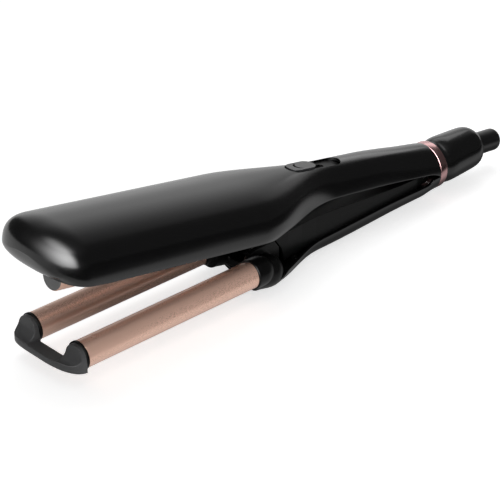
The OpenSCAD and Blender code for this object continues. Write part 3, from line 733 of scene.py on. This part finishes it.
def make_cheek(side, shape):
    """The part of the collar that reaches forward on the barrel's inner side, cut off along a slanted line."""
    b, reach, r = shape.barrel_l, 4 * MM, 8.35 * MM
    overlap, far = 3 * MM, 20 * MM
    y = side * LOWER_Y
    profile = [(b - reach, 0), (b - reach, r), (b + overlap, r), (b + overlap, 0)]
    rod = build_mesh("cheek", [revolve(profile, y, 0)])
    outer, inner = side * (LOWER_Y + far), side * (LOWER_Y - far)
    plan = [(b, y), (b, outer), (b - far, outer), (b - far, inner), (b - reach, side * (LOWER_Y - r))]
    return cut(rod, prism("cheek_cut", plan, -far, far))


def make_fork(shape):
    """Sockets, cheeks, shoulders and the web, melted together so that they flow into one another."""
    b = shape.barrel_l
    dome_l = 9 * MM
    collar_l, collar_r = 6 * MM, 8.4 * MM
    arm_x0, arm_x1, arm_r0, arm_r1 = b + 2 * MM, b + 14 * MM, 7.6 * MM, 9.2 * MM
    arm_y, arm_z = LOWER_Y - 1.5 * MM, -3.2 * MM
    shoulder_in, shoulder_out = 9.5 * MM, 13 * MM
    # Millimetres behind the barrels' free length and above their axes
    steps = [(4, -4), (4.4, 4.5), (5.2, 6.4), (6.6, 7.6), (9, 8.7), (12.5, 9.4), (17, 9.9), (23.6, 10.1)]
    steps += [(28, 4), (28, -6), (8, -6)]
    shoulder = [(b + dx * MM, dz * MM) for dx, dz in steps]
    parts = []
    for side in (-1, 1):
        parts.append(domed(b, b + collar_l, dome_l, collar_r, collar_r, side * LOWER_Y, 0))
        parts.append(domed(arm_x0, arm_x1, dome_l, arm_r0, arm_r1, side * arm_y, arm_z))
        parts.append(make_cheek(side, shape))
        low, high = sorted((side * shoulder_in, side * shoulder_out))
        parts.append(prism("shoulder", shoulder, low, high, axis=1))
    web = [(b + 10 * MM, -9 * MM), (b + 19 * MM, -9 * MM), (b + 19 * MM, -4 * MM), (b + 10 * MM, -4 * MM)]
    parts.append(prism("web", web, -LOWER_Y, LOWER_Y, axis=1))
    fork = joined("fork_sockets", parts)
    melt = fork.modifiers.new("melt", "REMESH")
    melt.mode = "VOXEL"
    melt.voxel_size = 0.42 * MM
    soft = fork.modifiers.new("soft", "SMOOTH")
    soft.factor = 0.5
    soft.iterations = 7
    return apply_modifiers(fork, 80)


def make_barrel(name, x0, x1, y, z, place, side):
    """A tube with small rounded ends and two dimples where it is staked to its heater: the radius at (x, angle)
    less a depth that falls off as exp(-d^4), d being the distance from a dimple's centre in dimple radii. The
    dimples are on the top with side 1 and underneath with side -1."""
    dense = 20 * MM
    x = np.concatenate([
        [x0, x0, x0 + 0.15 * MM],
        np.linspace(x0 + 0.4 * MM, x0 + dense, 90),
        np.linspace(x0 + dense, x1 - dense, 30)[1:-1],
        np.linspace(x1 - dense, x1, 90),
    ])
    r = np.full(len(x), BARREL_R)
    r[0] = BARREL_R - 1.0 * MM
    r[1] = BARREL_R - 0.3 * MM
    r[2] = BARREL_R - 0.08 * MM
    angle = np.linspace(0, 2 * math.pi, 145)
    xx, aa = np.meshgrid(x, angle, indexing="ij")
    rr = np.repeat(r[:, None], len(angle), 1)
    top = side * math.pi / 2 + (0 if side > 0 else 2 * math.pi)
    for centre in DIMPLES:
        along = (xx - centre) / DIMPLE_R
        around = BARREL_R * (aa - top) / DIMPLE_R
        rr -= DIMPLE_DEPTH * np.exp(-(along**2 + around**2) ** 2)
    points = np.stack([xx, y + rr * np.cos(aa), z + rr * np.sin(aa)], -1)
    return build_mesh(name, [points], place)


def make_tip():
    """The cool tip: a flat bow whose outline is a superellipse, squarer towards the far side, with a scooped
    half-round lobe before each barrel. Its top is a height over the plan: the soft maximum of the plate's level
    and of each lobe, which is the soft minimum of a cylinder's and the scoop's heights; the level falls off in
    a quarter circle at the outline."""
    reach, half = 10.95 * MM, 26.25 * MM
    drop, thick, washer, waist = 2.85 * MM, 3.8 * MM, 1.55 * MM, 3.65 * MM
    lobe_r, lobe_out, lobe_up = 6.9 * MM, 0.3 * MM, 0.25 * MM
    scoop_r = 6.5 * MM
    scoop_x = -washer - 2.1 * MM - scoop_r
    edge = 0.3 * MM
    fold = np.linspace(-1, 1, 281)
    power = mix(2.5, 4.6, blend(fold, -0.3, 0.3))
    y_end = half * (1 - (washer / reach) ** power) ** (1 / power)
    y = y_end * np.sin(fold * math.pi / 2) * 0.35 + y_end * fold * 0.65
    front = -reach * (1 - np.minimum(np.abs(y) / half, 1) ** power) ** (1 / power)
    inner = LOWER_Y - 7.25 * MM
    back = -washer - (waist - washer) * (1 - blend(np.abs(y), inner - 1.2 * MM, inner))
    share = np.linspace(0, 1, 61)[:, None]
    share = share * share * (3 - 2 * share) * 0.5 + share * 0.5
    x = front + (np.maximum(back, front) - front) * share
    yy = y + 0 * x
    q = ((np.abs(x) / reach) ** power + (np.abs(yy) / half) ** power) ** (1 / power)
    at_edge = clamp(1 - (1 - q) * np.hypot(x, yy) * np.abs(x / reach) ** 0.4 / edge)
    fall = edge * (1 - np.sqrt(1 - at_edge**2 * 0.9999))

    def soft_max(a, b, k):
        h = clamp(0.5 + 0.5 * (a - b) / k)
        return mix(b, a, h) + k * h * (1 - h)

    top = np.full_like(x, -drop)
    bowl = (scoop_r - drop) - np.sqrt(np.maximum(scoop_r**2 - (x - scoop_x) ** 2, 1e-12))
    bowl = np.where(x < scoop_x, -drop, bowl)
    steep = scoop_x + scoop_r * 0.93
    bowl = np.where(x > steep, bowl + (x - steep) * 6, bowl)
    for side in (-1, 1):
        off = np.abs(yy - side * (LOWER_Y + lobe_out)) / lobe_r
        dome = lobe_up + lobe_r * np.sqrt(np.maximum(1 - off**2, 0)) - 30 * MM * np.maximum(off - 1, 0)
        lobe = -soft_max(-dome, -bowl, 0.8 * MM)
        top = soft_max(top, lobe, 1.0 * MM)
    top = np.minimum(top - fall, 7.1 * MM)
    low = -drop - thick + fall
    upper = np.stack([x, yy, top], -1)
    lower = np.stack([x, yy, low], -1)
    walls = [np.stack([upper[0], lower[0]]), np.stack([upper[-1], lower[-1]])]
    ends = [np.stack([upper[:, i], lower[:, i]]) for i in (0, -1)]
    return build_mesh("tip_bow", [upper, lower] + walls + ends, sharp=50)


def make_washers():
    """Two flat rings with broken edges, a little wider than the barrels."""
    thick, bore, rim, broken = 1.5 * MM, 6.5 * MM, BARREL_R + 0.35 * MM, 0.15 * MM
    profile = [(-thick, bore), (-thick, rim - broken), (broken - thick, rim)]
    profile += [(-broken, rim), (0, rim - broken), (0, bore), (-thick, bore)]
    return joined("tip_seals", [build_mesh("seal", [revolve(profile, s * LOWER_Y, 0)]) for s in (-1, 1)])


def cap_profile():
    """The upper barrel's cap: a disc with a rounded edge before a plug that fits in the barrel."""
    x0 = UPPER_BARREL_FRONT - CAP_BEFORE_BARREL
    r, plug_r, plug_l = BARREL_R - 0.4 * MM, 6.3 * MM, 4 * MM
    disc = [(x0, 0), (x0, r - 0.25 * MM), (x0 + 0.1 * MM, r - 0.05 * MM), (x0 + 0.3 * MM, r)]
    disc += [(x0 + CAP_BEFORE_BARREL, r), (x0 + CAP_BEFORE_BARREL, plug_r)]
    return disc + [(x0 + plug_l, plug_r), (x0 + plug_l, 0)]


# ---------------------------------------------------------------- cord end


def make_trim_ring():
    """A band with quarter-round outer edges."""
    x0, x1 = RING_X, RING_BACK
    inner = RING_R - 1.65 * MM
    edge = 0.35 * MM
    profile = [(x0, inner)] + arc(x0 + edge, RING_R - edge, edge, 180, 90, 4)
    profile += arc(x1 - edge, RING_R - edge, edge, 90, 0, 4) + [(x1, inner), (x0, inner)]
    return build_mesh("rose_ring", [revolve(profile, 0, RING_Z, 160)])


def make_housing():
    """A round housing: a neck behind the ring, a full belly that thins towards the end and a domed mouth."""
    r, bore, mouth = RING_R, 5 * MM, 9.25 * MM
    # Millimetres behind the ring and inside its radius
    steps = [(1.2, 1.8), (3, 1.6), (5, 1.0), (7.5, 0.5), (10, 0.35), (15, 0.5), (21, 0.8), (27, 1.1)]
    steps += [(31, 1.4), (33.5, 1.9), (35.4, 2.8), (36.7, 3.8), (37.5, 4.8)]
    outline = curve_through([(dx * MM, r - dr * MM) for dx, dr in steps])
    x = np.concatenate([np.linspace(1.2, 31, 90), np.linspace(31, 37.5, 30)[1:]]) * MM
    body = [(RING_BACK + v, float(outline(v))) for v in x]
    end = HOUSE_END
    floor_x = end - 17 * MM
    profile = [(RING_BACK, bore), (RING_BACK, r - 2.2 * MM), (RING_BACK + 0.01 * MM, r - 1.7 * MM)]
    profile += body + [(end, mouth + 0.05 * MM), (end - 0.2 * MM, mouth)]
    profile += [(floor_x, mouth), (floor_x, bore), (RING_BACK, bore)]
    return build_mesh("outlet_housing", [revolve(profile, 0, RING_Z, 128)])


def make_carrier():
    """A round plug whose bore widens to the seat of the sleeve's ball and on to its mouth."""
    end = HOUSE_END - 0.6 * MM
    start, bore, seat, r, mouth = end - 15 * MM, 4 * MM, 6.1 * MM, 9.2 * MM, 8.45 * MM
    broken = 0.3 * MM
    profile = [(start, bore), (start, r), (end - broken, r), (end, r - broken), (end, mouth)]
    profile += [(PIVOT.x + 1 * MM, seat), (PIVOT.x - 2 * MM, seat), (PIVOT.x - 5 * MM, bore), (start, bore)]
    return build_mesh("outlet_carrier", [revolve(profile, 0, PIVOT.z)])


def make_sleeve():
    """A straight sleeve with a rounded end and an open bore, turned down by its rest angle about the pivot."""
    r, bore, reach = 6.75 * MM, 3.2 * MM, 27 * MM
    droop = math.radians(6)
    hub = 5.8 * MM
    start = math.degrees(math.asin(bore / hub))
    ball = [(-hub * math.cos(a), hub * math.sin(a)) for a in np.radians(np.linspace(start, 130, 24))]
    profile = [(reach - 3 * MM, bore), (ball[0][0], bore)] + ball
    profile += [(4.6 * MM, 4.35 * MM), (5.4 * MM, r - 0.4 * MM), (6.0 * MM, r - 0.05 * MM), (6.6 * MM, r)]
    tip = arc(reach - 2.9 * MM, r - 2.9 * MM, 2.9 * MM, 90, 8, 12)
    profile += [(v, r) for v in np.linspace(8 * MM, reach - 3.2 * MM, 8)] + tip
    profile += [(reach, bore + 0.4 * MM), (reach - 0.1 * MM, bore + 0.1 * MM)]
    profile += [(reach - 0.6 * MM, bore), (reach - 3 * MM, bore)]
    points = revolve(profile, 0, 0)
    c, s = math.cos(droop), math.sin(droop)
    x = points[..., 0] * c + points[..., 2] * s
    z = points[..., 2] * c - points[..., 0] * s
    return build_mesh("outlet_sleeve", [np.stack([x + PIVOT.x, points[..., 1], z + PIVOT.z], -1)])


# ---------------------------------------------------------------- operators


def sizes():
    return bpy.context.scene.waver_shape


def finishes():
    return bpy.context.scene.waver_finish


def casing_material():
    return bpy.data.materials.get("casing_gloss") or moulded(
        "casing_gloss", finishes().casing, 0.2, 0.05, 900.0, 0.00003
    )


def inner_material():
    return bpy.data.materials.get("inner_matt") or moulded(
        "inner_matt", finishes().inner, 0.42, 0.1, 1400.0, 0.00006, 1.25
    )


def rose_material():
    return bpy.data.materials.get("rose_satin") or coated_metal("rose_satin", finishes().rose, 0.28, 0.5)


class WAVER_OT_head_cover(bpy.types.Operator):
    """Builds the upper arm's cover with the recess for the button"""

    bl_idname = "waver.head_cover"
    bl_label = "Head cover"

    def execute(self, context):
        piece, cover = make_head_cover(sizes())
        well = Well(sizes(), cover)
        outline = slot_outline(-well.l / 2, well.l / 2, well.w)
        cut(piece, prism("well", outline, -2 * well.depth, 2 * well.depth, well.to_row))
        finish_piece(piece, "upper_arm", "black_shell", casing_material(), "head_cover")
        return {"FINISHED"}


class WAVER_OT_lower_shell(bpy.types.Operator):
    """Builds the lower half of the handle"""

    bl_idname = "waver.lower_shell"
    bl_label = "Lower shell"

    def execute(self, context):
        finish_piece(make_lower_shell(sizes()), "lower_arm", "black_shell", casing_material(), "lower_shell")
        return {"FINISHED"}


class WAVER_OT_fork(bpy.types.Operator):
    """Builds the fork with its two sockets"""

    bl_idname = "waver.fork"
    bl_label = "Barrel fork"

    def execute(self, context):
        satin = moulded("satin_black", (0.0025, 0.0025, 0.0025), 0.30, 0.08, 1200.0, 0.00004, 1.25)
        finish_piece(make_fork(sizes()), "lower_arm", "inner_black", satin, "barrel_fork")
        return {"FINISHED"}


class WAVER_OT_barrels(bpy.types.Operator):
    """Builds the three heated barrels"""

    bl_idname = "waver.barrels"
    bl_label = "Heated barrels"

    def execute(self, context):
        b = sizes().barrel_l
        for name, side in (("near_barrel", -1), ("far_barrel", 1)):
            tube = make_barrel(name + "_tube", 0, b + 4 * MM, side * LOWER_Y, 0, arm_to_row, 1)
            finish_piece(tube, "lower_arm", "rose_coating", rose_material(), name)
        back = b + 3 * MM
        front, z = UPPER_BARREL_FRONT, UPPER_BARREL_Z
        tube = make_barrel("upper_barrel_tube", front, back, 0, z, open_arm_to_row, -1)
        finish_piece(tube, "upper_arm", "rose_coating", rose_material(), "upper_barrel")
        return {"FINISHED"}


class WAVER_OT_tip(bpy.types.Operator):
    """Builds the cool tip, its seals and the upper barrel's cap"""

    bl_idname = "waver.tip"
    bl_label = "Cool tip"

    def execute(self, context):
        tip = moulded("tip_grey", finishes().tip, 0.42, 0.1, 1600.0, 0.00006, 1.3)
        finish_piece(make_tip(), "lower_arm", "tip_black", tip, "tip_bridge")
        seal = moulded("seal_black", (0.001, 0.001, 0.001), 0.4, 0.1, 1200.0, 0.00004, 1.2)
        finish_piece(make_washers(), "lower_arm", "washer_black", seal, "tip_washers")
        cap = moulded("cap_grey", finishes().cap, 0.5, 0.1, 1500.0, 0.00005)
        disc = build_mesh("upper_cap_disc", [revolve(cap_profile(), 0, UPPER_BARREL_Z)], open_arm_to_row)
        finish_piece(disc, "upper_arm", "barrel_cap_grey", cap, "upper_barrel_cap")
        return {"FINISHED"}


class WAVER_OT_cord_end(bpy.types.Operator):
    """Builds the trim ring, the outlet housing, its carrier and the sleeve"""

    bl_idname = "waver.cord_end"
    bl_label = "Cord end"

    def execute(self, context):
        trim = coated_metal("rose_trim", finishes().trim, 0.24)
        finish_piece(make_trim_ring(), "lower_arm", "rose_trim", trim, "trim_ring")
        finish_piece(make_housing(), "lower_arm", "black_shell", casing_material(), "rear_housing")
        finish_piece(make_carrier(), "swivel", "inner_black", inner_material(), "swivel_carrier")
        sleeve = moulded("sleeve_black", finishes().casing, 0.3, 0.08, 1100.0, 0.00004)
        finish_piece(make_sleeve(), "sleeve", "sleeve_black", sleeve, "cord_sleeve")
        return {"FINISHED"}


class WAVER_OT_inside(bpy.types.Operator):
    """Gives the inner pieces that keep their construction shape their finishes"""

    bl_idname = "waver.inside"
    bl_label = "Inner pieces"

    def execute(self, context):
        for node in ("head_tray", "upper_barrel_clamp", "upper_inner_cover", "hinge_block"):
            paint_node(node, inner_material())
        for node in ("lower_inner_cover", "switch_guide"):
            paint_node(node, inner_material())
        button = moulded("button_black", finishes().button, 0.22, 0.05, 900.0, 0.00003)
        paint_node("switch_button", button)
        steel = coated_metal("bright_steel", (0.6, 0.6, 0.61), 0.3)
        for node in ("hinge_pin", "hinge_spring", "swivel_pins", "cover_screws", "shell_screws"):
            paint_node(node, steel)
        paint_node("slide_switch", steel)
        ceramic = moulded("heater_ceramic", (0.5, 0.49, 0.46), 0.5, 0.1, 700.0, 0.00006)
        for node in ("upper_heater", "near_heater", "far_heater"):
            paint_node(node, ceramic)
        paint_node("circuit_board", moulded("board_green", (0.02, 0.1, 0.04), 0.45, 0.1, 500.0, 0.00004))
        return {"FINISHED"}


# The studio: directions are unit vectors from the waver, strengths are times white, places are in metres
LAMP_TOWARDS = (-0.60, -0.55, 0.58)
LAMP_FALL = 3.2
LAMP_STRENGTH = 13.5
ZENITH_SHARE = 0.25
BACKDROP_TOWARDS = (0.77, 0.64)
DIM_LEVEL = 0.07
HIGH_LEVEL = 0.15
PLAIN_LEVEL = 0.35
FLOOR_SEEN = 0.62
FLOOR_NEAR = 0.58
FLOOR_BEHIND = 0.24
CARD_FRONT = -0.083
CARD_SHIFT = 0.035
CARD_EDGE = 0.022
# Share of the floor's mirrored glow taken out by the painted shadow under the waver
SHADE_UNDER = 0.85
LAMPS = (
    # name, place, aim, width, height, watts, mirrored
    ("top_box", (0.1, 0.25, 0.9), (0, 0, 0.03), 0.9, 0.5, 2, False),
    ("front_fill", (-0.15, -0.9, 0.06), (-0.05, 0, 0.02), 1.1, 0.2, 11, False),
    ("rear_card", (0.204, 0.065, 0.115), (0.15, 0, 0.03), 0.10, 0.06, 0.022, True),
)

CAMERA_AZIMUTH = math.radians(-43.31)
CAMERA_ELEVATION = math.radians(29.04)
CAMERA_ROLL = math.radians(-0.12)
CAMERA_DISTANCE = 1.01366
CAMERA_TARGET = Vector((0.13307, 0, 0.00079))
LENS = 134.42
SENSOR = 36.0


def make_camera():
    a, e, r = CAMERA_AZIMUTH, CAMERA_ELEVATION, CAMERA_ROLL
    forward = Vector((-math.sin(a) * math.cos(e), math.cos(a) * math.cos(e), -math.sin(e)))
    right0 = Vector((math.cos(a), math.sin(a), 0))
    up0 = right0.cross(forward)
    right = right0 * math.cos(r) + up0 * math.sin(r)
    up = up0 * math.cos(r) - right0 * math.sin(r)
    data = bpy.data.cameras.new("photo_camera")
    data.lens = LENS
    data.sensor_fit = "HORIZONTAL"
    data.sensor_width = SENSOR
    data.clip_end = 20
    camera = link("photo_camera", data)
    place = CAMERA_TARGET + Vector((FRONT_X, 0, AXIS_Z)) - forward * CAMERA_DISTANCE
    matrix = camera.matrix_world.copy()
    for column, vector in enumerate((right, up, -forward, place)):
        for row in range(3):
            matrix[row][column] = vector[row]
    camera.matrix_world = matrix
    bpy.context.scene.camera = camera


def add_softbox(name, where, target, width, height, power, mirrored):
    """An area lamp; one that isn't mirrored lights the coatings but leaves no reflection."""
    data = bpy.data.lights.new(name, "AREA")
    data.shape = "RECTANGLE"
    data.size = width
    data.size_y = height
    data.energy = power
    lamp = link(name, data)
    lamp.location = where
    lamp.rotation_euler = (Vector(target) - Vector(where)).to_track_quat("-Z", "Y").to_euler()
    lamp.visible_glossy = mirrored


def make_floor():
    """A pale floor. Mirrored in the waver it is bright far behind and softer in front of it, has a painted
    shadow under the waver, and ends at a dark card, which gives the black sides their depth. The camera sees it
    white."""
    mesh = bpy.data.meshes.new("floor")
    reach = 6.0
    corners = [(-reach, -reach, 0), (reach, -reach, 0), (reach, reach, 0), (-reach, reach, 0)]
    mesh.from_pydata(corners, [], [(0, 1, 2, 3)])
    floor = link("floor", mesh)
    material, s = new_material("floor_pale")
    path = s.node("ShaderNodeLightPath")
    seen = s.out(path, "Is Camera Ray")
    x, y, _ = s.parts(s.position())
    start = CARD_FRONT + CARD_SHIFT * x.ramp(-0.02, 0.08)
    card = (y - start).ramp(0.0, -CARD_EDGE)
    # Painted shadow: the floor's glow, as mirrored in the waver, is dimmed in a patch under it that fades in
    # behind its front end
    under = y.ramp(-0.030, -0.012) * y.ramp(0.060, 0.025) * x.ramp(-0.175, -0.10)
    level = (FLOOR_NEAR + FLOOR_BEHIND * y.ramp(0.0, 0.08)) * (1.0 - SHADE_UNDER * under)
    glow = s.node("ShaderNodeEmission", Color=(1, 1, 1, 1))
    strength = seen * FLOOR_SEEN + (1.0 - seen) * (1.0 - card) * level
    s.tree.links.new(strength.socket, glow.inputs["Strength"])
    base = s.colours(1.0 - seen, finishes().floor, (0.02, 0.02, 0.02))
    pale = s.node("ShaderNodeBsdfDiffuse", Color=base)
    both = s.node("ShaderNodeAddShader")
    s.tree.links.new(pale.outputs[0], both.inputs[0])
    s.tree.links.new(glow.outputs[0], both.inputs[1])
    s.finish(both.outputs[0])
    mesh.materials.append(material)


def make_world():
    """White to the camera and plain and soft to what scatters light. Mirrored in the gloss it is a studio: a
    backdrop low on the far side that fades with height, a large soft lamp high before the nose that falls off
    smoothly but for its front edge, and a dim rest."""
    world = bpy.data.worlds.new("studio")
    bpy.context.scene.world = world
    world.use_nodes = True
    s = Shader(world.node_tree)
    path = s.node("ShaderNodeLightPath")
    seen = s.out(path, "Is Camera Ray")
    mirrored = s.out(path, "Is Glossy Ray")
    x, y, z = s.parts(s.out(s.node("ShaderNodeTexCoord"), "Generated"))
    bx, by = BACKDROP_TOWARDS
    across = y * bx - x * by
    backdrop = (across * across).ramp(0.27, 0.12) * (x * bx + y * by).ramp(0.0, 0.3) * z.ramp(0.85, 0.0)
    lx, ly, lz = LAMP_TOWARDS
    towards = (x * lx + y * ly + z * lz).clipped()
    zenith = z.ramp(0.82, 0.97) * x.ramp(0.3, -0.1) * ZENITH_SHARE
    lamp = towards**LAMP_FALL * (y * 0.35 - x).ramp(-0.20, 0.15) + zenith
    dim = DIM_LEVEL + HIGH_LEVEL * z.ramp(0.6, 1.0)
    studio = dim + backdrop + lamp * LAMP_STRENGTH
    strength = seen + mirrored * studio + (1.0 - seen - mirrored) * PLAIN_LEVEL
    back = s.node("ShaderNodeBackground", Color=(1, 1, 1, 1), Strength=strength)
    s.finish(back.outputs[0], "ShaderNodeOutputWorld")


class WAVER_OT_stage(bpy.types.Operator):
    """Builds the floor, the studio light and the camera"""

    bl_idname = "waver.stage"
    bl_label = "Stage"

    def execute(self, context):
        make_floor()
        make_world()
        for lamp in LAMPS:
            add_softbox(*lamp)
        make_camera()
        view = context.scene.view_settings
        view.view_transform = "Standard"
        return {"FINISHED"}


class WAVER_PT_panel(bpy.types.Panel):
    """Lists the sizes, the finishes and the pieces to build"""

    bl_label = "Hair waver"
    bl_idname = "WAVER_PT_panel"
    bl_space_type = "VIEW_3D"
    bl_region_type = "UI"
    bl_category = "Waver"

    def draw(self, context):
        column = self.layout.column()
        for group in (sizes(), finishes()):
            for key in group.__annotations__:
                column.prop(group, key)
        for operator in OPERATORS:
            column.operator(operator.bl_idname)


OPERATORS = (
    WAVER_OT_stage,
    WAVER_OT_head_cover,
    WAVER_OT_lower_shell,
    WAVER_OT_fork,
    WAVER_OT_barrels,
    WAVER_OT_tip,
    WAVER_OT_cord_end,
    WAVER_OT_inside,
)
CLASSES = (WaverShape, WaverFinish) + OPERATORS + (WAVER_PT_panel,)


def register():
    for item in CLASSES:
        bpy.utils.register_class(item)
    bpy.types.Scene.waver_shape = PointerProperty(type=WaverShape)
    bpy.types.Scene.waver_finish = PointerProperty(type=WaverFinish)


def unregister():
    del bpy.types.Scene.waver_finish
    del bpy.types.Scene.waver_shape
    for item in reversed(CLASSES):
        bpy.utils.unregister_class(item)


def main():
    register()
    for operator in OPERATORS:
        group, name = operator.bl_idname.split(".")
        getattr(getattr(bpy.ops, group), name)()


if __name__ == "__main__":
    main()
